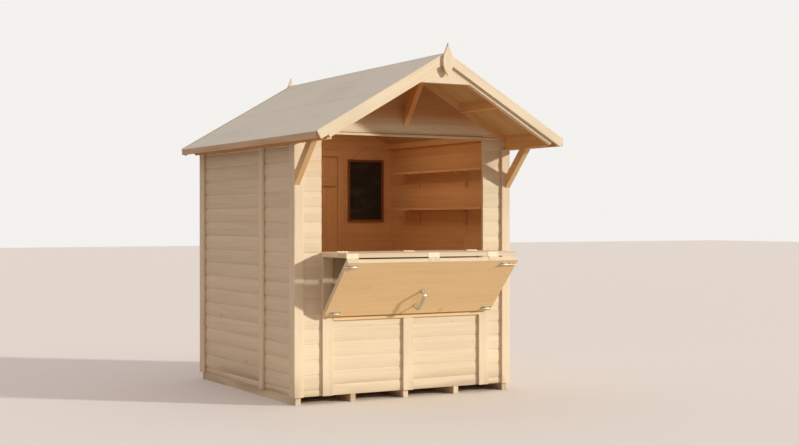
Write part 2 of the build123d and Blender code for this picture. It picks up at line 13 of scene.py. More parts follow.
import bmesh
import bpy
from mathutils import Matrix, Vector


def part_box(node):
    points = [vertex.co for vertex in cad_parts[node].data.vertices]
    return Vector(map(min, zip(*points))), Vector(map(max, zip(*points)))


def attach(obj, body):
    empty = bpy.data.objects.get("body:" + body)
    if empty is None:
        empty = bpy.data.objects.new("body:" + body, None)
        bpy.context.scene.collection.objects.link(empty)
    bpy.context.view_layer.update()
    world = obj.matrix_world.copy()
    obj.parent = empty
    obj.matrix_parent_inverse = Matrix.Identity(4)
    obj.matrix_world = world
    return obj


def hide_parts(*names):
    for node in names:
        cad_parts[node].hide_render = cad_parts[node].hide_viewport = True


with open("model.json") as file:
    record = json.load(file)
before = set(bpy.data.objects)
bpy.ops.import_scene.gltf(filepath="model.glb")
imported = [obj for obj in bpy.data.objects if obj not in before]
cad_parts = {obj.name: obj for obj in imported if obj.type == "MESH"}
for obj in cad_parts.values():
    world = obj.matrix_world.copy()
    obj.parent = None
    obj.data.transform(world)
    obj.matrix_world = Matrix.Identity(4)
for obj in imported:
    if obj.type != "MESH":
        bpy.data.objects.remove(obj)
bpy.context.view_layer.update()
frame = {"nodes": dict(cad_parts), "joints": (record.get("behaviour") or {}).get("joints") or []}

# %% [markdown]
# ## The camera
# The stall is seen from its left front corner at about eye height. The lens and the place come
# from the vanishing lines of the walls, so the picture can be compared line by line. A long
# lens from far away would flatten the hut, so the real distance matters more than the framing.

# %% Set the camera
def put_in_scene(name, data):
    """A new object in the scene, for a camera, a lamp, a mesh or a curve."""
    thing = bpy.data.objects.new(name, data)
    bpy.context.scene.collection.objects.link(thing)
    return thing


camera_data = bpy.data.cameras.new("camera")
camera_data.sensor_width = 36
camera_data.lens = 58.83
camera = put_in_scene("camera", camera_data)
camera.location = (-5.222, -10.198, 1.4345)
camera.rotation_euler = (math.radians(89.884), math.radians(0.04), math.radians(-29.32))
bpy.context.scene.camera = camera
print("camera", round((camera.location.xy).length, 2), "m from the middle of the hut")

# %% [markdown]
# ## Softwood
# Planed spruce is pale, with soft yearly rings that are cut at a slant, long faint streaks and a
# small brown knot here and there. One recipe makes all of it from the place inside the log: the
# distance from the heart gives the rings, a noise stretched along the grain the streaks, and a
# cell texture the knots. Because it is solid all through, a board's face shows long lines and
# its sawn end shows arcs, with no extra work. Pictures of wood would have seams and a fixed
# size. The recipe reads its place from the mesh where boards are laid one by one, and from the
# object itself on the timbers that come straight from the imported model.

# %% Small helpers for shader nodes
def set_sockets(tree, node, values):
    """Sets plain values on a node's own sockets, and links those that come from other nodes."""
    for key, value in values.items():
        if isinstance(value, bpy.types.NodeSocket):
            tree.links.new(value, node.inputs[key])
        else:
            node.inputs[key].default_value = value


def add(tree, kind, values=None, **settings):
    """Adds a shader node, sets its options and fills its sockets."""
    node = tree.nodes.new("ShaderNode" + kind)
    for key, value in settings.items():
        setattr(node, key, value)
    set_sockets(tree, node, values or {})
    return node


def srgb(red, green, blue):
    """A colour as it is seen on a screen, 0 to 255, turned into the linear values of a shader."""
    channels = [v / 255 for v in (red, green, blue)]
    return [v / 12.92 if v <= 0.04045 else ((v + 0.055) / 1.055) ** 2.4 for v in channels] + [1]


def new_material(name):
    """An empty material with one shader on its output."""
    material = bpy.data.materials.new(name)
    material.use_nodes = True
    tree = material.node_tree
    tree.nodes.clear()
    shader = add(tree, "BsdfPrincipled")
    add(tree, "OutputMaterial", {"Surface": shader.outputs[0]})
    return material, tree, shader


def scaled(tree, place, scale, turn=(0, 0, 0)):
    """The place vector stretched and turned."""
    values = {"Vector": place, "Scale": scale, "Rotation": turn}
    return add(tree, "Mapping", values).outputs[0]


def noise(tree, place, scale, detail=3, roughness=0.5):
    """The grey value of a noise texture."""
    values = {"Vector": place, "Scale": scale, "Detail": detail, "Roughness": roughness}
    return add(tree, "TexNoise", values).outputs["Fac"]


def ramp(tree, value, low, high, to_low=0.0, to_high=1.0):
    """The value, moved smoothly from one range to another."""
    values = {"Value": value, "From Min": low, "From Max": high}
    values.update({"To Min": to_low, "To Max": to_high})
    node = add(tree, "MapRange", values, interpolation_type="SMOOTHSTEP")
    return node.outputs[0]


def combine(tree, kind, first, second):
    """Two values added, multiplied or compared."""
    return add(tree, "Math", {0: first, 1: second}, operation=kind).outputs[0]


def times(tree, first, second):
    """The product of two values."""
    return combine(tree, "MULTIPLY", first, second)


def blend_colour(tree, amount, first, second, kind="MIX"):
    """Two colours mixed by an amount."""
    values = {0: amount, 6: first, 7: second}
    return add(tree, "Mix", values, data_type="RGBA", blend_type=kind).outputs[2]


def relief(tree, height, strength, depth):
    """Fine relief that only the light sees, for the shader's normal."""
    values = {"Height": height, "Strength": strength, "Distance": depth}
    return add(tree, "Bump", values).outputs[0]


def own_place(tree):
    """The place on the piece itself, in metres."""
    return add(tree, "TexCoord").outputs["Object"]


print("shader helpers ready")

# %% The softwood recipe
KNOT_BROWN = srgb(150, 98, 54)
SPLASH = srgb(150, 130, 104)
# The two tints below make the wood under the roof darker and more amber towards the top: painted
# shade.
AMBER_SHADE_TINT = (0.78, 0.53, 0.34, 1)
GABLE_SHADE_TINT = (0.68, 0.42, 0.25, 1)
RING = 0.0034
SPLASH_TOP, SPLASH_FOOT = 0.3, 0.02


def softwood(name, shades, turn=None, mirrored=False, outdoors=True, painted_shade_heights=None,
             tint=AMBER_SHADE_TINT):
    """Planed softwood in a light and a dark shade. Without a turn it reads the grain stored on
    laid boards, and with one it turns the object's own place so that its X axis follows the
    grain. Mirrored makes one turn serve both slopes of the roof. Two heights, when given, mark
    where the wood turns darker towards the tint on the way up: a painted shade that stands for the
    dim warm light under the roof."""
    material, tree, shader = new_material(name)
    light, dark = shades
    own = own_place(tree)
    if turn is None:
        place = add(tree, "Attribute", attribute_name="grain").outputs["Vector"]
        tone = add(tree, "Attribute", attribute_name="tone").outputs["Fac"]
    else:
        sides = own
        if mirrored:
            sides = add(tree, "VectorMath", {0: own}, operation="ABSOLUTE").outputs[0]
        place = scaled(tree, sides, (1, 1, 1), [math.radians(v) for v in turn])
        tone = ramp(tree, noise(tree, own, 1.7, 1), 0.3, 0.7, -1, 1)
    rim = add(tree, "Attribute", attribute_name="rim").outputs["Fac"]

    values = {"Vector": scaled(tree, place, (0.07, 1, 1)), "Scale": 0.314 / RING}
    values.update({"Distortion": 14.0, "Detail": 1.5, "Detail Scale": 0.09})
    values["Detail Roughness"] = 0.4
    waves = {"wave_type": "RINGS", "rings_direction": "X", "wave_profile": "SAW"}
    rings = add(tree, "TexWave", values, **waves).outputs["Fac"]
    late = ramp(tree, rings, 0.45, 1.0, 0, 0.2)
    streaks = noise(tree, scaled(tree, place, (1.5, 42, 42)), 1.0, 4, 0.55)
    fibres = noise(tree, scaled(tree, place, (9, 420, 420)), 1.0, 2)
    patches = noise(tree, scaled(tree, place, (0.8, 6, 6)), 1.0, 2)
    flecks = ramp(tree, noise(tree, scaled(tree, place, (13, 230, 230)), 1.0, 1), 0.7, 0.78, 0, 0.6)

    values = {"Vector": scaled(tree, place, (0.75, 1, 1)), "Scale": 4.2}
    cells = add(tree, "TexVoronoi", values)
    chosen = ramp(tree, cells.outputs["Color"], 0.35, 0.45)
    near = cells.outputs["Distance"]
    knot = times(tree, ramp(tree, near, 0.042, 0.022, 0, 0.85), chosen)
    around = times(tree, ramp(tree, near, 0.16, 0.03, 0, 0.5), chosen)

    figure = combine(tree, "ADD", late, ramp(tree, streaks, 0.4, 0.75, 0, 0.35))
    colour = blend_colour(tree, figure, light, dark)
    warm = [dark[0] * 0.93, dark[1] * 0.8, dark[2] * 0.62, 1]
    colour = blend_colour(tree, ramp(tree, patches, 0.45, 0.8, 0, 0.14), colour, warm)
    colour = blend_colour(tree, around, colour, warm)
    colour = blend_colour(tree, flecks, colour, warm)
    colour = blend_colour(tree, knot, colour, KNOT_BROWN)
    height = add(tree, "SeparateXYZ", {0: own}).outputs[2]
    # Painted shade: the wood turns darker and more amber towards the top, under the roof.
    if painted_shade_heights:
        colour = blend_colour(tree, ramp(tree, height, *painted_shade_heights), colour, tint, "MULTIPLY")
    if outdoors:
        splashed = ramp(tree, height, SPLASH_TOP, SPLASH_FOOT, 0, 0.55)
        splashed = times(tree, splashed, ramp(tree, patches, 0.3, 0.7))
        colour = blend_colour(tree, splashed, colour, SPLASH)
    dusty = ramp(tree, rim, 0, 1, 1, 0.86)
    bright = times(tree, ramp(tree, tone, -1, 1, 0.95, 1.03), dusty)
    tinted = add(tree, "HueSaturation", {"Color": colour, "Value": bright})
    set_sockets(tree, shader, {
        "Base Color": tinted.outputs[0],
        "Roughness": ramp(tree, streaks, 0.3, 0.8, 0.52, 0.72),
        "Specular IOR Level": 0.3,
        "Normal": relief(tree, fibres, 0.3, 0.0006),
    })
    return material


PALE = srgb(232, 214, 184), srgb(216, 192, 154)
# A darker, more orange copy of the pale wood for the purlins and rake trims: painted shade under
# the roof.
SHADED_AMBER = srgb(232, 184, 126), srgb(206, 154, 96)
# Warmer wood for the inside of the hut; part of its deeper orange is painted shade, for the dim
# warm light in there.
INSIDE_WOOD_AND_SHADE = srgb(234, 192, 142), srgb(210, 163, 110)
# Warmer wood for the flap and the ledge under it; part of its warmth is painted light, for warm
# light thrown up from the ground.
HONEY_AND_WARM_LIGHT = srgb(240, 208, 158), srgb(224, 188, 134)
# Darker, more orange wood for the underside of the roof: painted shade.
SHADED_SOFFIT = srgb(212, 174, 122), srgb(192, 150, 98)
# Darker, more orange wood for the struts: painted shade under the roof.
SHADED_STRUT = srgb(232, 194, 142), srgb(210, 166, 112)
# Darker wood for the eave fascias: painted shade under the eaves.
SHADED_FASCIA = srgb(212, 180, 142), srgb(190, 154, 114)
SLOPE = 30

laid_wood = softwood("laid_boards", PALE)
# The gable boards darken towards the apex: painted shade under the roof.
gable_wood_shaded_top = softwood("gable_boards_shaded_top", PALE, painted_shade_heights=(2.17, 2.31), tint=GABLE_SHADE_TINT)
inside_wood_and_shade = softwood("inside_boards_and_shade", INSIDE_WOOD_AND_SHADE, outdoors=False)
shaded_soffit_wood = softwood("shaded_soffit_boards", SHADED_SOFFIT, outdoors=False)
flap_wood = softwood("flap_boards_and_warm_light", HONEY_AND_WARM_LIGHT)
wood_x = softwood("timber_across", PALE, (0, 0, 0))
wood_y = softwood("timber_front_to_back", PALE, (0, 0, -90))
wood_z = softwood("timber_upright", PALE, (0, 90, 0))
wood_left = softwood("timber_left_slope", PALE, (0, SLOPE, 0))
wood_right = softwood("timber_right_slope", PALE, (0, -SLOPE, 0))
shaded_amber_y = softwood("shaded_amber_timber_front_to_back", SHADED_AMBER, (0, 0, -90))
shaded_amber_rake = softwood("shaded_amber_timber_both_slopes", SHADED_AMBER, (0, -SLOPE, 0), True)
shaded_strut_wood = softwood("shaded_timber_strut", SHADED_STRUT, (48, 0, -90), painted_shade_heights=(2.2, 2.3))
shaded_fascia_wood = softwood("shaded_fascia_boards", SHADED_FASCIA, (0, 0, -90))
flap_timber_x_and_warm_light = softwood("flap_timber_and_warm_light", HONEY_AND_WARM_LIGHT, (0, 0, 0))
shelf_wood_and_shade = softwood("shelf_timber_and_shade", INSIDE_WOOD_AND_SHADE, (0, 0, -90), outdoors=False)
casing_wood_and_shade = softwood("casing_timber_and_shade", INSIDE_WOOD_AND_SHADE, (0, 90, 0), outdoors=False)
print(len(bpy.data.materials), "materials so far")

# %% [markdown]
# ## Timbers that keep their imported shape
# The bearers, purlins, struts, trims and bargeboards are plain timbers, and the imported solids
# already have their outlines. Real ones have their sharp corners planed off, which catches the
# light. A weld joins the faces that the file format keeps apart, and a small bevel rounds the
# edges. The finish follows the grain: along the timber's length, whichever way it points.

# %% Finish the timbers
def finish_node(name, material, edge=0.0018):
    """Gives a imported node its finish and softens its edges, without touching its mesh."""
    piece = frame["nodes"][name]
    piece.data.materials.clear()
    piece.data.materials.append(material)
    weld = piece.modifiers.new("weld", "WELD")
    weld.merge_threshold = 0.00002
    if edge:
        bevel = piece.modifiers.new("edges", "BEVEL")
        bevel.width = edge
        bevel.segments = 2
        bevel.limit_method = "ANGLE"
        bevel.angle_limit = math.radians(40)
    return piece


timber_finishes = {
    "floor_bearers": wood_y,
    "ridge_purlin": shaded_amber_y,
    "mid_purlins": shaded_amber_y,
    "eave_purlins": shaded_amber_y,
    "wall_plates": shelf_wood_and_shade,
    "roof_struts": shaded_strut_wood,
    "verge_rafters_left": wood_left,
    "verge_rafters_right": wood_right,
    "verge_gussets": wood_x,
}
for node_name, finish in timber_finishes.items():
    finish_node(node_name, finish)
trim_finishes = {
    "corner_boards": wood_z,
    "side_cover_boards": wood_z,
    "front_cover_boards": wood_z,
    "hatch_ledge": flap_timber_x_and_warm_light,
    "lintel_strip": wood_x,
    "rake_trims": shaded_amber_rake,
    "eave_fascias": shaded_fascia_wood,
    "bargeboards_left": wood_left,
    "bargeboards_right": wood_right,
    "finials": wood_z,
    "door_jambs": casing_wood_and_shade,
    "door_head": casing_wood_and_shade,
    "wall_shelves": shelf_wood_and_shade,
    "shelf_brackets": casing_wood_and_shade,
}
for node_name, finish in trim_finishes.items():
    finish_node(node_name, finish)
print(len(timber_finishes) + len(trim_finishes), "packed nodes finished as timber")

# %% [markdown]
# ## Laying boards
# The outside of the walls is weatherboard with a rounded face, so that each course catches the
# sky on its upper half and turns dark towards the joint. A painted line could not do that from
# every side. So each board is its own closed strip: an outline pushed along its length. It also
# stores three things for the softwood recipe: where it lies in its log, a tone of its own,
# because no two boards come from the same tree, and which points are in the joint, where dust
# settles. Faces that look into the hut get a warmer wood, as wood that sun and rain never reach
# is; its deeper orange is also painted shade, for the dim warm light inside the hut.

# %% The board layer
choice = random.Random(11)
SLIVER = 0.012
X, Y, Z = Vector((1, 0, 0)), Vector((0, 1, 0)), Vector((0, 0, 1))


def outline_of(outer, thickness, back_ease=0.0015):
    """A closed outline from its outer points, with the count of those points."""
    left, right = outer[0][0], outer[-1][0]
    inner = [
        (right, -thickness + back_ease),
        (right - back_ease, -thickness),
        (left + back_ease, -thickness),
        (left, -thickness + back_ease),
    ]
    return outer + inner, len(outer)


def eased(width, thickness, ease=0.004, drop=0.003):
    """A flat board with eased corners, its outer face at out 0."""
    outer = [(0, -drop), (ease * 0.35, -drop * 0.3), (ease, 0)]
    outer += [(width - v, w) for v, w in reversed(outer)]
    return outline_of(outer, thickness, min(0.0015, thickness / 4)) + (False,)


def crowned(width, thickness, crown=0.0062, groove=0.0014):
    """A weatherboard whose face is rounded across its width."""
    outer = [(0, -crown - groove)]
    for share in (0.012, 0.045, 0.14, 0.28, 0.5, 0.72, 0.86, 0.955, 0.988):
        outer.append((width * share, -crown * (2 * share - 1) ** 2))
    outer.append((width, -crown - groove))
    return outline_of(outer, thickness) + (True,)


def new_stack():
    """An empty stack of boards."""
    return {key: [] for key in ("points", "faces", "grain", "tone", "rim", "smooth", "inner")}


def lay(stack, corner, along, across, out, length, outline, low_cut=0.0, high_cut=0.0,
        second=()):
    """Adds one board. The cuts say how far each end draws in for every metre across it, and
    second names the sides that take the second finish, besides the back."""
    points, face_count, rounded = outline
    first, count = len(stack["points"]), len(points)
    middle = max(v for v, w in points) / 2
    heart = [choice.uniform(0, 40), choice.uniform(-0.05, 0.05), choice.uniform(0.03, 0.11)]
    tone = choice.uniform(-1, 1)
    for far_end in (False, True):
        for index, (v, w) in enumerate(points):
            u = length - high_cut * v if far_end else low_cut * v
            stack["points"].append(corner + along * u + across * v + out * w)
            stack["grain"].append((u + heart[0], v - middle + heart[1], w + heart[2]))
            stack["tone"].append(tone)
            in_joint = index in (0, face_count - 1)
            next_to_it = index in (1, face_count - 2)
            stack["rim"].append(1.0 if in_joint else 0.4 if next_to_it else 0.0)
    for i in range(count):
        j = (i + 1) % count
        stack["faces"].append((first + i, first + j, first + count + j, first + count + i))
        stack["smooth"].append(rounded and i < face_count - 1)
        if i < face_count - 1:
            stack["inner"].append("face" in second)
        else:
            stack["inner"].append(face_count <= i < count - 1 or "edges" in second)
    stack["faces"].append(tuple(first + i for i in reversed(range(count))))
    stack["faces"].append(tuple(first + count + i for i in range(count)))
    stack["smooth"] += [False, False]
    stack["inner"] += ["edges" in second] * 2


def lay_rows(stack, rows, corner, along, across, out, length, outline, second=()):
    """Adds boards of one width side by side, the first one at the corner."""
    pitch = max(v for v, w in outline[0])
    for row in range(rows):
        place = corner + across * row * pitch
        lay(stack, place, along, across, out, length, outline, second=second)


def new_piece(name, data, body):
    """Puts a mesh or a curve into the scene as a piece that rides on a body."""
    piece = put_in_scene(name, data)
    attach(piece, body)
    return piece


def face_outwards(mesh):
    """Turns the faces of closed forms outwards."""
    sheet = bmesh.new()
    sheet.from_mesh(mesh)
    bmesh.ops.recalc_face_normals(sheet, faces=sheet.faces)
    sheet.to_mesh(mesh)
    sheet.free()


def place_stack(stack, name, material, *nodes, body="hut", slot="boards", inner=None):
    """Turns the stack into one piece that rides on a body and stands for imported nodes."""
    mesh = bpy.data.meshes.new(name)
    mesh.from_pydata([tuple(p) for p in stack["points"]], [], stack["faces"])
    if inner:
        mesh.polygons.foreach_set("material_index", [int(v) for v in stack["inner"]])
    grain = mesh.attributes.new("grain", "FLOAT_VECTOR", "POINT")
    grain.data.foreach_set("vector", [v for place in stack["grain"] for v in place])
    for key in ("tone", "rim"):
        values = mesh.attributes.new(key, "FLOAT", "POINT")
        values.data.foreach_set("value", stack[key])
    face_outwards(mesh)
    mesh.set_sharp_from_angle(angle=math.radians(20))
    mesh.polygons.foreach_set("use_smooth", stack["smooth"])
    mesh.materials.append(material)
    if inner:
        mesh.materials.append(inner)
    piece = new_piece(name, mesh, body)
    if nodes:
        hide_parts(*nodes)


def courses(bottom, top, first_joint, pitch):
    """The bottom and top of each course between two levels. No course is a mere sliver."""
    joints = [bottom]
    height = first_joint
    while height < top - SLIVER:
        if height > bottom + SLIVER:
            joints.append(height)
        height += pitch
    joints.append(top)
    return list(zip(joints, joints[1:]))


print("board layer ready")

# %% [markdown]
# ## Walls
# The side walls have 120 mm boards, laid level from the floor up. They end behind the corner
# boards, and change panels behind the cover board, so each course is two boards long. The
# front panels under the counter are a little narrower.

# %% Side walls
SIDE_FIRST, SIDE_PITCH = 0.111, 0.119
HALF_JOINT = 0.001
cover_low, cover_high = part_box("side_cover_boards")
panel_joint = (cover_low.y + cover_high.y) / 2
for side_name, outward in (("left_wall", -X), ("right_wall", X)):
    low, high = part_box(side_name)
    face_x = low.x if outward.x < 0 else high.x
    stack = new_stack()
    for bottom, top in courses(low.z, high.z, SIDE_FIRST, SIDE_PITCH):
        outline = crowned(top - bottom, high.x - low.x)
        panels = ((low.y, panel_joint - HALF_JOINT), (panel_joint + HALF_JOINT, high.y))
        for start, stop in panels:
            lay(stack, Vector((face_x, start, bottom)), Y, Z, outward, stop - start, outline)
    place_stack(stack, side_name + "_boards", laid_wood, side_name, inner=inside_wood_and_shade)
    print(side_name, len(courses(low.z, high.z, SIDE_FIRST, SIDE_PITCH)), "courses")

# %% Front and back walls
FRONT_FIRST, FRONT_PITCH = 0.147, 0.112
FRONT_CROWN = (0.0036, 0.0009)
FIRST_PANEL = 0.756
DOOR_GAP = 0.007
front_low, front_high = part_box("front_wall_piers")
thickness = front_high.y - front_low.y
opening_low, opening_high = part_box("front_lower_wall")
eave_low, eave_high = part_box("eave_purlins")
inner_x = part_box("right_wall")[0].x
back_low, back_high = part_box("back_wall_panels")
leaf_low, leaf_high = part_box("door_leaf")
doorway = (leaf_low.x - DOOR_GAP, leaf_high.x + DOOR_GAP)


def tall_panels(name, spans, face_y, outward):
    """Full-height panels, drawn in at the top where the eave purlins run through."""
    low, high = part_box(name)
    stack = new_stack()
    for left, right in spans:
        for low_z, high_z in courses(low.z, high.z, SIDE_FIRST, SIDE_PITCH):
            start, stop = left, right
            if high_z > eave_low.z:
                start, stop = max(left, -inner_x), min(right, inner_x)
            outline = crowned(high_z - low_z, thickness, *FRONT_CROWN)
            lay(stack, Vector((start, face_y, low_z)), X, Z, outward, stop - start, outline)
    place_stack(stack, name + "_boards", laid_wood, name, inner=inside_wood_and_shade)


spans = ((front_low.x, opening_low.x), (opening_high.x, front_high.x))
tall_panels("front_wall_piers", spans, front_low.y, -Y)
spans = ((back_low.x, doorway[0]), (doorway[1], back_high.x))
tall_panels("back_wall_panels", spans, back_high.y, Y)

stack = new_stack()
middle_joint = opening_low.x + FIRST_PANEL
panels = (
    (opening_low.x, middle_joint - HALF_JOINT),
    (middle_joint + HALF_JOINT, opening_high.x),
)
for left, right in panels:
    for low_z, high_z in courses(opening_low.z, opening_high.z, FRONT_FIRST, FRONT_PITCH):
        outline = crowned(high_z - low_z, thickness, *FRONT_CROWN)
        lay(stack, Vector((left, front_low.y, low_z)), X, Z, -Y, right - left, outline)
place_stack(stack, "front_lower_boards", laid_wood, "front_lower_wall", inner=inside_wood_and_shade)
print("front and back walls laid")

# %% [markdown]
# ## Gables
# The gable boards are cut to the roof slope at both ends. A course draws in by the same amount
# for every bit of height, so the board layer only needs to know how fast. Over the lintel strip
# the front gable has a shadow joint. It is a real gap with a narrow board set back behind it,
# because a painted line would stay dark in the sun.

# %% Gable boards
ridge_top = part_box("ridge_purlin")[1].z
draw_in = 1 / math.tan(math.radians(SLOPE))
first_slope = ridge_top - inner_x / draw_in
GABLE_CROWN = (0.0022, 0.0008)
SLOPE_FIRST = 0.09
JOINT_WIDTH, JOINT_DEPTH = 0.006, 0.012


def gable(name, face_y, outward, bottom_rows, gap=None):
    """Level rows below the slopes, then courses between the slopes. A gap gives the two heights
    of a joint that is closed behind."""
    stack = new_stack()
    for left, right, low_z, high_z in bottom_rows:
        outline = crowned(high_z - low_z, thickness, *GABLE_CROWN)
        lay(stack, Vector((left, face_y, low_z)), X, Z, outward, right - left, outline)
    if gap:
        outline = eased(gap[1] - gap[0], thickness - JOINT_DEPTH, 0.0008, 0.0004)
        corner = Vector((-inner_x, face_y - outward.y * JOINT_DEPTH, gap[0]))
        lay(stack, corner, X, Z, outward, 2 * inner_x, outline)
    ridge = ridge_top - HALF_JOINT
    for low_z, high_z in courses(first_slope, ridge, first_slope + SLOPE_FIRST, SIDE_PITCH):
        half = (ridge_top - low_z) * draw_in
        outline = crowned(high_z - low_z, thickness, *GABLE_CROWN)
        corner = Vector((-half, face_y, low_z))
        lay(stack, corner, X, Z, outward, 2 * half, outline, draw_in, draw_in)
    place_stack(stack, name + "_boards", gable_wood_shaded_top, name, inner=inside_wood_and_shade)


gable_low, gable_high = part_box("front_gable")
lintel_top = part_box("lintel_strip")[1].z
joint_top = lintel_top + JOINT_WIDTH
across_hut = (-inner_x, inner_x)
rows = [(*across_hut, gable_low.z, lintel_top), (*across_hut, joint_top, first_slope)]
gable("front_gable", gable_low.y, -Y, rows, (lintel_top, joint_top))
rear_low, rear_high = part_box("rear_gable")
rows = [(*across_hut, gable_low.z, first_slope), (*doorway, rear_low.z, gable_low.z)]
gable("rear_gable", rear_high.y, Y, rows)
print("gables laid up to", round(ridge_top, 3))

# %% [markdown]
# ## Roof
# Boards run from the ridge down to the eaves, over the purlins, with their planed faces down
# where they show. On top lies mineral felt: a pale grey sheet in strips that lap down the
# slope and are nailed along the edges. A flat plane would look like card, so the sheet has laps
# with a real step, a slight wave, and a grit that takes the shine away.

# %% Roof boards
slope_tan = math.tan(math.radians(SLOPE))
slope_cos = math.cos(math.radians(SLOPE))
slope_sin = math.sin(math.radians(SLOPE))
ROOF_ROWS = 24
for side_name, side in (("roof_boards_left", -1), ("roof_boards_right", 1)):
    low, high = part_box(side_name)
    down = Vector((side * slope_cos, 0, -slope_sin))
    up = Vector((side * slope_sin, 0, slope_cos))
    reach = max(abs(low.x), abs(high.x)) / slope_cos
    board_depth = (high.z - ridge_top) * slope_cos
    stack = new_stack()
    outline, face_count, rounded = eased(
        (high.y - low.y) / ROOF_ROWS, board_depth, 0.003, 0.002
    )
    outline = ([(v, board_depth + w) for v, w in outline], face_count, rounded)
    lay_rows(stack, ROOF_ROWS, Vector((0, low.y, ridge_top)), down, Y, up, reach, outline)
    place_stack(stack, side_name + "_laid", shaded_soffit_wood, side_name)
print(2 * ROOF_ROWS, "roof boards")

# %% Mineral felt
felt, tree, shader = new_material("mineral_felt")
own = own_place(tree)
grit = noise(tree, own, 620, 2, 0.7)
stain = noise(tree, scaled(tree, own, (3, 0.7, 1)), 1.3, 4, 0.55)
colour = blend_colour(tree, ramp(tree, grit, 0.35, 0.65), srgb(212, 211, 192), srgb(230, 229, 212))
colour = blend_colour(tree, ramp(tree, stain, 0.45, 0.8, 0, 0.3), colour, srgb(190, 187, 166))
set_sockets(tree, shader, {
    "Base Color": colour,
    "Roughness": 0.92,
    "Specular IOR Level": 0.15,
    "Normal": relief(tree, grit, 0.4, 0.0008),
})

felt_low, felt_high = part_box("roof_felt")
eave = felt_high.x
LAP, THIN, WAVE = 0.0012, 0.0018, 0.0006
LOWER_TOP, RIDGE_EDGE = 0.50, 0.58
FELT_STEPS, FELT_COLUMNS = 8, 44


def felt_height(x, y):
    """Height of the lower felt's face, with a slight wave."""
    wave = WAVE * math.sin(5.1 * y + 3.3 * x) * math.sin(2.3 * y - 7.0 * abs(x))
    return felt_high.z - 0.0008 - LAP - abs(x) * slope_tan + wave


def felt_strip(name, lines, lift):
    """One strip over a list of places across the roof, as a thin closed sheet."""
    row = FELT_COLUMNS + 1
    top = []
    for x in lines:
        for column in range(row):
            y = felt_low.y + (felt_high.y - felt_low.y) * column / FELT_COLUMNS
            top.append((x, y, felt_height(x, y) + lift))
    under = len(top)
    faces = []
    for line in range(len(lines) - 1):
        near, far = line * row, (line + 1) * row
        for a, b in zip(range(near, far - 1), range(far, far + FELT_COLUMNS)):
            faces.append((a, a + 1, b + 1, b))
            faces.append((under + a, under + b, under + b + 1, under + a + 1))
        faces.append((near, far, under + far, under + near))
        near, far = near + FELT_COLUMNS, far + FELT_COLUMNS
        faces.append((near, under + near, under + far, far))
    last = (len(lines) - 1) * row
    for c in range(FELT_COLUMNS):
        faces.append((c, under + c, under + c + 1, c + 1))
        faces.append((last + c, last + c + 1, under + last + c + 1, under + last + c))
    mesh = bpy.data.meshes.new(name)
    mesh.from_pydata(top + [(x, y, z - THIN) for x, y, z in top], [], faces)
    face_outwards(mesh)
    mesh.materials.append(felt)
    return new_piece(name, mesh, "hut")


for side, side_name in ((-1, "left"), (1, "right")):
    run = eave - LOWER_TOP
    lines = [side * (LOWER_TOP + run * i / FELT_STEPS) for i in range(FELT_STEPS + 1)]
    felt_strip("felt_lower_" + side_name, lines, 0.0)
lines = [RIDGE_EDGE * (i / FELT_STEPS - 1) for i in range(2 * FELT_STEPS + 1)]
felt_strip("felt_ridge", lines, LAP)
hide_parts("roof_felt")

# %% [markdown]
# ## Floor and counter
# The floor boards lie across the bearers. The counter is a fixed sill inside and a leaf that
# folds out, both of planed boards with eased edges.

# %% Floor boards and counter boards
low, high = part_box("floor_deck")
stack = new_stack()
FLOOR_ROWS = 17
inside_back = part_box("right_wall")[1].y
outline = eased((inside_back - low.y) / FLOOR_ROWS, high.z - low.z, 0.003, 0.003)
corner = Vector((low.x, low.y, high.z))
lay_rows(stack, FLOOR_ROWS, corner, X, Y, Z, high.x - low.x, outline)
corner = Vector((doorway[0], inside_back, high.z))
tongue = eased(thickness, high.z - low.z, 0.003, 0.003)
lay(stack, corner, X, Y, Z, doorway[1] - doorway[0], tongue)
place_stack(stack, "floor_boards", inside_wood_and_shade, "floor_deck")

counter_pieces = (("counter_sill", "hut", 2), ("counter_leaf", "counter", 3))
for node_name, body, rows in counter_pieces:
    low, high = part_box(node_name)
    stack = new_stack()
    outline = eased((high.y - low.y) / rows, high.z - low.z, 0.0025, 0.0015)
    corner = Vector((low.x, low.y, high.z))
    lay_rows(stack, rows, corner, X, Y, Z, high.x - low.x, outline)
    place_stack(stack, node_name + "_boards", laid_wood, node_name, body=body)
print("floor, sill and leaf laid")

# %% [markdown]
# ## The flap
# Under the leaf hangs a second one, a frame of battens with boards across it. It folds up in
# line with the counter leaf to close the opening. Its boards have a warmer colour, and part of
# that warmth is painted light, for the warm light thrown up onto the slanted face from the
# ground. They come from one log, laid side by side as they were sawn, so the grain runs on
# across the joints. The panel is slanted, so its own directions are worked out once, and
# everything on the flap is placed with them.

# %% Flap boards
TILT = math.radians(44)
flap_down = Vector((0, math.sin(TILT), -math.cos(TILT)))
flap_out = Vector((0, -math.cos(TILT), -math.sin(TILT)))
pins = {joint["name"]: Vector(joint["pos_m"]) for joint in frame["joints"]}
flap_pin = pins["flap_hinge"]
HINGE_RADIUS, BATTEN, BOARD = 0.0045, 0.022, 0.018
FLAP_HEAD, FLAP_LENGTH, FLAP_ROWS = 0.003, 0.597, 5
CALM_TONE, CALM_RIM = 0.1, 0.3
FROM_HEART = (0.3, 0.35)
face_out = HINGE_RADIUS + BATTEN + BOARD
flap_low, flap_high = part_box("flap_boards")


def on_flap(x, down, out=0.0):
    """A point on the flap: across, down from the hinge pin and out from its shown face."""
    return Vector((x, flap_pin.y, flap_pin.z)) + flap_down * down + flap_out * (face_out + out)


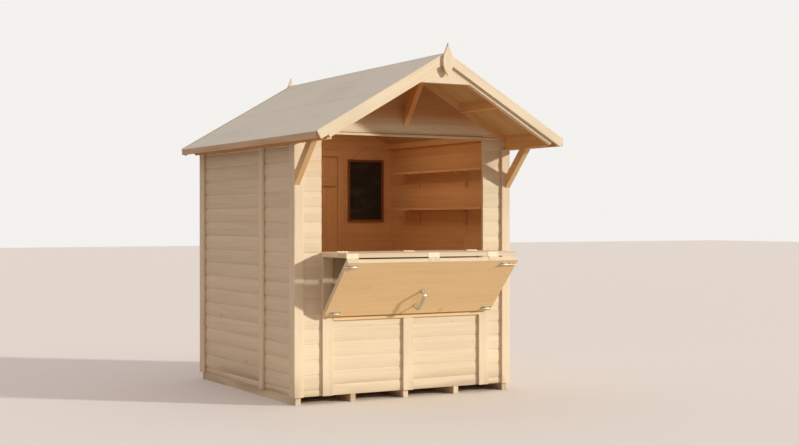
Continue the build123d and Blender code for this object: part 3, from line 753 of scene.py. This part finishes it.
stack = new_stack()
outline = eased(FLAP_LENGTH / FLAP_ROWS, BOARD, 0.0004, 0.0002)
lay_rows(
    stack, FLAP_ROWS, on_flap(flap_low.x, FLAP_HEAD), X, flap_down, flap_out,
    flap_high.x - flap_low.x, outline, ("edges",),
)
stack["tone"] = [value * CALM_TONE for value in stack["tone"]]
stack["rim"] = [value * CALM_RIM for value in stack["rim"]]
stack["grain"] = [
    (p.x, p.dot(flap_down) + FROM_HEART[0], p.dot(flap_out) + FROM_HEART[1])
    for p in (point - flap_pin for point in stack["points"])
]
place_stack(
    stack, "flap_face_boards", flap_wood, "flap_boards", body="flap", slot="flap_wood",
    inner=laid_wood,
)
finish_node("flap_battens", wood_x)
print("flap of", FLAP_ROWS, "boards")

# %% [markdown]
# ## Back door
# The back door is made of upright boards on three ledges, so it needs no frame. The ledges are
# screwed across the inside.

# %% Door boards
LEDGE_HEIGHTS = (0.260, 1.010, 1.760)
LEDGE_WIDTH, LEDGE_DEPTH, LEDGE_INSET = 0.095, 0.020, 0.025
board_back = leaf_low.y + LEDGE_DEPTH
stack = new_stack()
DOOR_ROWS = 6
door_pitch = (leaf_high.x - leaf_low.x) / DOOR_ROWS
outline = eased(door_pitch, leaf_high.y - board_back, 0.006, 0.004)
corner = Vector((leaf_low.x, leaf_high.y, leaf_low.z))
lay_rows(stack, DOOR_ROWS, corner, Z, X, Y, leaf_high.z - leaf_low.z, outline)
ledge_length = leaf_high.x - leaf_low.x - 2 * LEDGE_INSET
for height in LEDGE_HEIGHTS:
    corner = Vector((leaf_low.x + LEDGE_INSET, leaf_low.y, height))
    outline = eased(LEDGE_WIDTH, LEDGE_DEPTH, 0.004, 0.004)
    lay(stack, corner, X, Z, -Y, ledge_length, outline, second=("face", "edges"))
place_stack(stack, "door_boards", laid_wood, "door_leaf", body="door", inner=inside_wood_and_shade)
print("door of", DOOR_ROWS, "boards and", len(LEDGE_HEIGHTS), "ledges")

# %% [markdown]
# ## Ironmongery
# Hinges, bolts and handles are zinc-plated steel with the creamy tint of its yellow coating.
# Zinc is a dull metal with a faint cloudy pattern and small scratches, so the roughness changes
# from place to place. The hinges are plainer and paler, the bolts and handles a little brighter.

# %% Zinc-plated steel
STEEL_EDGE = 0.0004


def plated(name, light, dark, metal, smooth, rough):
    """Plated steel, clouded and lightly scratched."""
    material, tree, shader = new_material(name)
    own = own_place(tree)
    cloud = noise(tree, own, 38, 3, 0.5)
    scratch = noise(tree, scaled(tree, own, (30, 400, 400)), 1.0, 2)
    colour = blend_colour(tree, ramp(tree, cloud, 0.35, 0.7), light, dark)
    set_sockets(tree, shader, {
        "Base Color": colour,
        "Metallic": metal,
        "Roughness": ramp(tree, cloud, 0.3, 0.7, smooth, rough),
        "Normal": relief(tree, scratch, 0.15, 0.0004),
    })
    return material, tree, shader, colour


hinge_zinc = plated("hinge_zinc", srgb(232, 218, 188), srgb(224, 208, 176), 0.2, 0.45, 0.6)[0]
bolt_zinc = plated("bolt_zinc", srgb(206, 198, 180), srgb(186, 178, 160), 0.7, 0.36, 0.5)[0]
for node_name in ("fixed_hinge_plates", "leaf_hinge_plates", "flap_hinge_plates",
                  "door_hinge_straps"):
    finish_node(node_name, hinge_zinc, STEEL_EDGE)
for node_name in ("flap_bolts", "flap_handle", "door_handle"):
    finish_node(node_name, bolt_zinc, STEEL_EDGE)
print("seven packed nodes finished as steel")

# %% [markdown]
# ## Nails and screws
# Trims are nailed, ironmongery is screwed, and the felt is held by broad flat nails along its
# edges. The heads are tiny, but from close by a board without them looks glued on. A head is a
# short turned profile. The screw's cross recess is not cut: it is painted dark from the place on
# the head, a painted shade standing for the shadow in the recess.

# %% Heads of nails and screws
CROSS_WIDTH, CROSS_REACH = 0.13, 0.6
HEAD_SIDES = 12
HEAD = ((1.0, -0.0008), (1.0, 0.0003), (0.7, 0.0007), (0.25, 0.0008))
FLAT_HEAD = ((1.0, -0.0006), (1.0, 0.0003), (0.85, 0.0006))
SCREW_HEAD = ((1.0, -0.0006), (1.0, 0.0001), (0.75, 0.0005), (0.2, 0.0006))
screw_steel, tree, shader, colour = plated(
    "screw_steel", srgb(206, 198, 176), srgb(178, 170, 148), 0.8, 0.3, 0.45
)
spot = add(tree, "Attribute", attribute_name="grain").outputs["Vector"]
spot = add(tree, "VectorMath", {0: spot}, operation="ABSOLUTE").outputs[0]
across, along, _ = add(tree, "SeparateXYZ", {0: spot}).outputs
# Painted shade: a dark cross where the screw's recess would hold shadow.
narrow = combine(tree, "LESS_THAN", combine(tree, "MINIMUM", across, along), CROSS_WIDTH)
short = combine(tree, "LESS_THAN", combine(tree, "MAXIMUM", across, along), CROSS_REACH)
colour = blend_colour(tree, times(tree, narrow, short), colour, srgb(60, 56, 48))
tree.links.new(colour, shader.inputs["Base Color"])
nail_steel = plated("nail_steel", srgb(186, 176, 156), srgb(156, 146, 126), 0.6, 0.45, 0.65)[0]


def note(spots, x, y, z, outward):
    """Writes down the place of one head and the way it faces."""
    spots.append((Vector((x, y, z)), outward))


def heads(name, spots, body, material, radius, profile=HEAD):
    """Round heads at places with their outward directions, all in one piece."""
    points, faces, local = [], [], []
    for place, outward in spots:
        first_side = outward.orthogonal().normalized()
        second_side = outward.cross(first_side)
        turn = choice.uniform(0, math.pi)
        first = len(points)
        for share, lift in profile:
            for step in range(HEAD_SIDES):
                angle = 2 * math.pi * step / HEAD_SIDES
                wide = first_side * math.cos(angle + turn) + second_side * math.sin(angle + turn)
                points.append(place + wide * share * radius + outward * lift)
                local += [math.cos(angle) * share, math.sin(angle) * share, 0]
        for ring in range(len(profile) - 1):
            low_ring = first + ring * HEAD_SIDES
            for step in range(HEAD_SIDES):
                a, b = low_ring + step, low_ring + (step + 1) % HEAD_SIDES
                faces.append((a, b, b + HEAD_SIDES, a + HEAD_SIDES))
        last = first + (len(profile) - 1) * HEAD_SIDES
        faces.append(tuple(first + step for step in reversed(range(HEAD_SIDES))))
        faces.append(tuple(last + step for step in range(HEAD_SIDES)))
    mesh = bpy.data.meshes.new(name)
    mesh.from_pydata([tuple(p) for p in points], [], faces)
    mesh.attributes.new("grain", "FLOAT_VECTOR", "POINT").data.foreach_set("vector", local)
    mesh.materials.append(material)
    new_piece(name, mesh, body)
    return len(spots)


def spread(start, stop, count):
    """Evenly spread values from start to stop."""
    return [start + (stop - start) * i / (count - 1) for i in range(count)]


print("head maker ready")

# %% Nails in the trims
TRIM_NAIL, BOARD_NAIL, FELT_NAIL = 0.0022, 0.0017, 0.0045
END_GAP, STRIP_GAP, COVER_EDGE, STAGGER = 0.06, 0.05, 0.018, 0.05
CORNER_FRONT, CORNER_SIDE = (0.020, 0.058), (0.028, 0.078)
FRONT_COVERS = ((-0.757, 1.13), (-0.033, 0.63), (0.691, 1.13))
FRONT_COVER_NAILS = (0.022, 0.068)
BARGE_START, BARGE_END, BARGE_DROPS = 0.14, 0.09, (0.024, 0.060)
corner_low, corner_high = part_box("corner_boards")
trim_nails = []
for sx in (-1, 1):
    for level in spread(corner_low.z + END_GAP, corner_high.z - END_GAP, 6):
        for end, face_y in ((-1, corner_low.y), (1, corner_high.y)):
            for inset in CORNER_FRONT:
                note(trim_nails, sx * (corner_high.x - inset), face_y, level, Y * end)
            for inset in CORNER_SIDE:
                y = face_y - end * inset
                note(trim_nails, sx * corner_high.x, y, level + STAGGER, X * sx)
        for y in (cover_low.y + COVER_EDGE, cover_high.y - COVER_EDGE):
            note(trim_nails, sx * cover_high.x, y, level, X * sx)
front_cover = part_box("front_cover_boards")[0]
for left, top in FRONT_COVERS:
    for level in spread(front_cover.z + END_GAP, top - END_GAP, 4):
        for inset in FRONT_COVER_NAILS:
            note(trim_nails, left + inset, front_cover.y, level, -Y)
for node_name in ("hatch_ledge", "lintel_strip"):
    low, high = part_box(node_name)
    for x in spread(low.x + STRIP_GAP, high.x - STRIP_GAP, 6):
        note(trim_nails, x, low.y, (low.z + high.z) / 2, -Y)
barge_low, barge_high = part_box("bargeboards_right")
for side in (-1, 1):
    for x in spread(BARGE_START, eave - BARGE_END, 6):
        for drop in BARGE_DROPS:
            z = barge_high.z - x * slope_tan - drop
            for end, face_y in ((-1, barge_low.y), (1, barge_high.y)):
                note(trim_nails, side * x, face_y, z, Y * end)
print(heads("trim_nails", trim_nails, "hut", nail_steel, TRIM_NAIL), "nails in the trims")

# %% Nails in the wall boards and the door
SIDE_STUDS = (-0.86, -0.45, -0.29, 0.28, 0.86)
FRONT_STUDS = (-0.80, -0.90, 0.79, 0.90)
BESIDE_DOOR, LEDGE_EDGE, NAILED_COURSE = 0.03, 0.014, 0.07
wall_nails = []
for side_name, sx in (("left_wall", -1), ("right_wall", 1)):
    low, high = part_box(side_name)
    for bottom, top in courses(low.z, high.z, SIDE_FIRST, SIDE_PITCH):
        if top - bottom < NAILED_COURSE:
            continue
        for y in SIDE_STUDS:
            note(wall_nails, high.x if sx > 0 else low.x, y, (bottom + top) / 2, X * sx)
for bottom, top in courses(front_low.z, front_high.z, SIDE_FIRST, SIDE_PITCH):
    if top - bottom < NAILED_COURSE or top > eave_low.z:
        continue
    for x in FRONT_STUDS:
        note(wall_nails, x, front_low.y, (bottom + top) / 2, -Y)
    for x in (-0.90, doorway[0] - BESIDE_DOOR, doorway[1] + BESIDE_DOOR, 0.90):
        note(wall_nails, x, back_high.y, (bottom + top) / 2, Y)
print(heads("wall_nails", wall_nails, "hut", nail_steel, BOARD_NAIL), "nails in the walls")

door_nails = []
for height in LEDGE_HEIGHTS:
    for row in range(DOOR_ROWS):
        x = leaf_low.x + (row + 0.5) * door_pitch
        for rise in (LEDGE_EDGE, LEDGE_WIDTH - LEDGE_EDGE):
            note(door_nails, x, leaf_high.y, height + rise, Y)
            note(door_nails, x, leaf_low.y, height + rise, -Y)
print(heads("door_nails", door_nails, "door", nail_steel, TRIM_NAIL), "nails in the door")

# %% Nails in the felt
FELT_EDGE, EAVE_EDGE, FELT_CORNER = 0.025, 0.03, 0.05
RIDGE_START, EAVE_END = 0.08, 0.12
felt_nails = []
for side in (-1, 1):
    up = Vector((side * slope_sin, 0, slope_cos))
    for y in spread(felt_low.y + FELT_CORNER, felt_high.y - FELT_CORNER, 26):
        for x, lift in ((eave - EAVE_EDGE, 0), (RIDGE_EDGE - FELT_EDGE, LAP)):
            note(felt_nails, side * x, y, felt_height(side * x, y) + lift, up)
    for x in spread(RIDGE_START, eave - EAVE_END, 9):
        lift = LAP if x < RIDGE_EDGE else 0
        for y in (felt_low.y + FELT_EDGE, felt_high.y - FELT_EDGE):
            note(felt_nails, side * x, y, felt_height(side * x, y) + lift, up)
count = heads("felt_nails", felt_nails, "hut", nail_steel, FELT_NAIL, FLAT_HEAD)
print(count, "nails in the felt")

# %% Screws in the hinges
SCREW, FLAP_SCREW = 0.0036, 0.0034
PLATE, HALF_PLATE, HINGE_ROW = 0.002, 0.021, (-0.036, 0.0, 0.036)
SILL_HINGES, FLAP_HINGES = (-0.6, 0.0, 0.6), (-0.712, 0.003, 0.554)
LEAF_RISE, FLAP_DEPTH = 0.022, 0.026
STRAP_SCREWS = (0.06, 0.13, 0.20, 0.27)
hut_screws, leaf_screws, flap_screws, door_screws = [], [], [], []
sill_pin, door_pin = pins["counter_hinge"], pins["door_hinge"]
for x in SILL_HINGES:
    for step in HINGE_ROW:
        level = sill_pin.z - HINGE_RADIUS + PLATE
        note(hut_screws, x + step, sill_pin.y + HALF_PLATE, level, Z)
        note(leaf_screws, x + step, sill_pin.y - HALF_PLATE, level, Z)
for x in FLAP_HINGES:
    for step in HINGE_ROW:
        edge_y = flap_pin.y + FLAP_HEAD - PLATE
        note(leaf_screws, x + step, edge_y, flap_pin.z + LEAF_RISE, -Y)
        place = on_flap(x + step, FLAP_HEAD - PLATE, FLAP_DEPTH - face_out)
        flap_screws.append((place, -flap_down))
strap_face = door_pin.y - HINGE_RADIUS + PLATE
for height in LEDGE_HEIGHTS:
    middle = height + LEDGE_WIDTH / 2
    for step in HINGE_ROW:
        note(hut_screws, door_pin.x - HALF_PLATE, strap_face, middle + step, Y)
        note(door_screws, door_pin.x + HALF_PLATE, strap_face, middle + step, Y)
    for x in STRAP_SCREWS:
        note(door_screws, door_pin.x + x, strap_face, middle, Y)
print(len(hut_screws + leaf_screws + flap_screws + door_screws), "screws in the hinges")

# %% Screws in the bolts, the pulls and the flap
BOLTS = ((-0.717, 0.042), (-0.681, 0.565), (0.663, 0.042), (0.716, 0.565))
BOLT_SIDE, BOLT_RISE, BOLT_PLATE, BOLT_CLEAR = 0.037, 0.0115, 0.0025, 0.03
PULL_X, FLAP_PULL, DOOR_PULL = 0.015, (0.330, 0.500), (1.130, 1.280)
PULL_ROW, PULL_PLATE = (-0.014, 0.014), 0.004
BATTEN_X, BATTEN_INSET = 0.005, 0.035
for x, down in BOLTS:
    for across in (-BOLT_SIDE, BOLT_SIDE):
        for rise in (-BOLT_RISE, BOLT_RISE):
            flap_screws.append((on_flap(x + across, down + rise, BOLT_PLATE), flap_out))
for down in FLAP_PULL:
    for step in PULL_ROW:
        flap_screws.append((on_flap(PULL_X, down + step, PULL_PLATE), flap_out))
for x in (flap_low.x + BATTEN_INSET, BATTEN_X, flap_high.x - BATTEN_INSET):
    for row in range(FLAP_ROWS):
        down = FLAP_HEAD + (row + 0.5) * FLAP_LENGTH / FLAP_ROWS
        if all(abs(down - bolt[1]) > BOLT_CLEAR for bolt in BOLTS):
            flap_screws.append((on_flap(x, down), flap_out))
handle_low, handle_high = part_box("door_handle")
for level in DOOR_PULL:
    for step in PULL_ROW:
        x = (handle_low.x + handle_high.x) / 2
        note(door_screws, x, leaf_high.y + PULL_PLATE, level + step, Y)
count = heads("hut_screws", hut_screws, "hut", screw_steel, SCREW, SCREW_HEAD)
count += heads("leaf_screws", leaf_screws, "counter", screw_steel, SCREW, SCREW_HEAD)
count += heads("flap_screws", flap_screws, "flap", screw_steel, FLAP_SCREW, SCREW_HEAD)
count += heads("door_screws", door_screws, "door", screw_steel, SCREW, SCREW_HEAD)
print(count, "screws")

# %% [markdown]
# ## Slate
# The writing board hangs on the back wall by a cord over a nail. It is left bare: a wiped black
# surface still shows pale smears of chalk, and that is what its finish has.

# %% Slate and its frame
RIM, FRAME_DEPTH, FACE_DEPTH = 0.022, 0.018, 0.008
slate_black, tree, shader = new_material("wiped_slate")
smears = noise(tree, scaled(tree, own_place(tree), (4, 1, 9), (0, 25, 0)), 1.0, 5, 0.6)
smears = ramp(tree, smears, 0.45, 0.8, 0, 0.22)
colour = blend_colour(tree, smears, srgb(38, 37, 35), srgb(120, 120, 114))
set_sockets(tree, shader, {"Base Color": colour, "Roughness": 0.75})
FRAME_BROWN = srgb(146, 94, 56), srgb(108, 68, 38)
frame_brown = softwood("slate_frame_wood", FRAME_BROWN, outdoors=False)
low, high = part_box("wall_slate")

stack = new_stack()
outline = [(0, -FRAME_DEPTH), (0, -0.002), (0.002, 0)]
outline += [(RIM - 0.004, 0), (RIM, -0.004), (RIM, -FRAME_DEPTH)]
width, height = high.x - low.x, high.z - low.z
runs = (
    (Vector((low.x, low.y, low.z)), X, Z, width),
    (Vector((low.x, low.y, high.z)), X, -Z, width),
    (Vector((low.x, low.y, low.z)), Z, X, height),
    (Vector((high.x, low.y, low.z)), Z, -X, height),
)
for corner, along, across, length in runs:
    lay(stack, corner, along, across, -Y, length, (outline, len(outline), False), 1.0, 1.0)
stack["rim"] = [0.0] * len(stack["rim"])
place_stack(stack, "slate_frame", frame_brown, "wall_slate", slot="slate")

stack = new_stack()
face_width, face_height = width - 2 * RIM, height - 2 * RIM
outline = [(0, -FACE_DEPTH), (0, 0), (face_height, 0), (face_height, -FACE_DEPTH)]
corner = Vector((low.x + RIM, high.y - FACE_DEPTH, low.z + RIM))
lay(stack, corner, X, Z, -Y, face_width, (outline, len(outline), False))
place_stack(stack, "slate_face", slate_black, slot="slate")
print("slate", round(width, 3), "by", round(height, 3))

# %% [markdown]
# ## Cord
# The slate's cord is drawn tight by the weight, so it runs straight from each end to the nail and
# bends only over it. A smooth curve with a point just before and just after the nail gives that,
# where a line of straight runs would have a kink.

# %% Cord and nail for the slate
CORD, CORD_EASE, CORD_RISE = 0.0022, 0.013, 0.0044
LEFT_END, RIGHT_END, NAIL_OUT = 0.030, 0.045, 0.012
twine, tree, shader = new_material("twine")
values = {"Vector": own_place(tree), "Scale": 160, "Distortion": 2}
twist = add(tree, "TexWave", values, bands_direction="X").outputs["Fac"]
colour = blend_colour(tree, twist, srgb(120, 84, 50), srgb(168, 126, 82))
set_sockets(tree, shader, {"Base Color": colour, "Roughness": 0.9})
nail_foot = Vector((0.671, high.y, 2.144))
start = Vector((low.x + LEFT_END, high.y - 0.010, high.z - 0.004))
stop = Vector((high.x - RIGHT_END, high.y - 0.010, high.z - 0.004))
peak = nail_foot - Y * NAIL_OUT + Z * CORD_RISE
before = peak + (start - peak).normalized() * CORD_EASE
after = peak + (stop - peak).normalized() * CORD_EASE
line = bpy.data.curves.new("slate_cord", "CURVE")
line.dimensions = "3D"
line.bevel_depth = CORD / 2
line.bevel_resolution = 2
spline = line.splines.new("NURBS")
cord_places = (start, before, peak, after, stop)
spline.points.add(len(cord_places) - 1)
for point, place in zip(spline.points, cord_places):
    point.co = (*place, 1)
spline.order_u = 3
spline.use_endpoint_u = True
line.materials.append(twine)
slate_cord = new_piece("slate_cord", line, "hut")
rounded = ((before + peak) / 2, (after + peak) / 2)
NAIL = ((0.45, -0.004), (0.45, 0.012), (1.0, 0.0125), (1.0, 0.0135), (0.6, 0.014))
heads("slate_nail", [(nail_foot, -Y)], "hut", nail_steel, 0.003, NAIL)

# %% [markdown]
# ## Light and ground
# One lamp from the right front stands for a low sun. It grazes the walls, so each trim throws a
# narrow shadow and the roof shades the gable. The fill comes from above and leaves the left
# side soft. A high sun would light the roof and hide all of that. A weak warm lamp under the
# ridge stands for the sunlight that the boards throw about inside. The background is pale only
# to the camera, so that the light on the wood stays plain.

# %% Lamps
SUN_TURN, SUN_RISE = math.radians(48.5), math.radians(16)
sun_data = bpy.data.lights.new("key", "SUN")
sun_data.energy = 3.0
sun_data.angle = math.radians(3.2)
sun_data.color = (1.0, 0.99, 0.92)
sun = put_in_scene("key", sun_data)
level = math.cos(SUN_RISE)
towards = Vector((math.sin(SUN_TURN) * level, -math.cos(SUN_TURN) * level, math.sin(SUN_RISE)))
sun.rotation_euler = towards.to_track_quat("Z", "Y").to_euler()

fill_data = bpy.data.lights.new("inside_fill", "AREA")
fill_data.shape = "RECTANGLE"
fill_data.size, fill_data.size_y = 0.8, 1.3
fill_data.energy = 5.0
fill_data.color = (1.0, 0.76, 0.54)
fill = put_in_scene("inside_fill", fill_data)
fill.location = (0, -0.1, 2.36)
fill.visible_camera = False
fill.visible_glossy = False
print("two lamps placed")

# %% World and floor
GLOW_LOW, GLOW_HIGH = 0.14, 1.06
NEAR, FAR, FLOOR_REACH = 2.6, 4.6, 60


def seen_directly(tree):
    """One for a ray that comes straight from the camera, or by way of metal or glass."""
    seen = add(tree, "LightPath").outputs
    direct = combine(tree, "MAXIMUM", seen["Is Camera Ray"], seen["Is Glossy Ray"])
    return combine(tree, "MAXIMUM", direct, seen["Is Transmission Ray"])


world = bpy.data.worlds.new("studio")
bpy.context.scene.world = world
world.use_nodes = True
tree = world.node_tree
tree.nodes.clear()
direction = add(tree, "TexCoord").outputs["Generated"]
upward = add(tree, "SeparateXYZ", {0: direction}).outputs[2]
values = {"Value": upward, "To Min": GLOW_LOW, "To Max": GLOW_HIGH}
glow = add(tree, "MapRange", values).outputs[0]
soft = add(tree, "Background", {"Color": (1.0, 0.88, 0.88, 1), "Strength": glow})
pale = add(tree, "Background", {"Color": (0.9, 0.885, 0.86, 1), "Strength": 1.0})
shown = {0: seen_directly(tree), 1: soft.outputs[0], 2: pale.outputs[0]}
mixed = add(tree, "MixShader", shown)
add(tree, "OutputWorld", {"Surface": mixed.outputs[0]})

ground_material, tree, shader = new_material("pale_ground")
away = add(tree, "VectorMath", {0: own_place(tree)}, operation="LENGTH").outputs["Value"]
bounce = blend_colour(tree, ramp(tree, away, NEAR, FAR), srgb(212, 200, 184), srgb(150, 138, 124))
floor_colour = blend_colour(tree, seen_directly(tree), bounce, srgb(222, 217, 209))
set_sockets(tree, shader, {"Base Color": floor_colour, "Roughness": 0.9})
ground_mesh = bpy.data.meshes.new("ground")
reach = FLOOR_REACH
floor_corners = [(-reach, -reach, 0), (reach, -reach, 0), (reach, reach, 0), (-reach, reach, 0)]
ground_mesh.from_pydata(floor_corners, [], [(0, 1, 2, 3)])
ground_mesh.materials.append(ground_material)
ground = put_in_scene("ground", ground_mesh)
bpy.context.scene.view_settings.view_transform = "Standard"
print("world and ground placed")
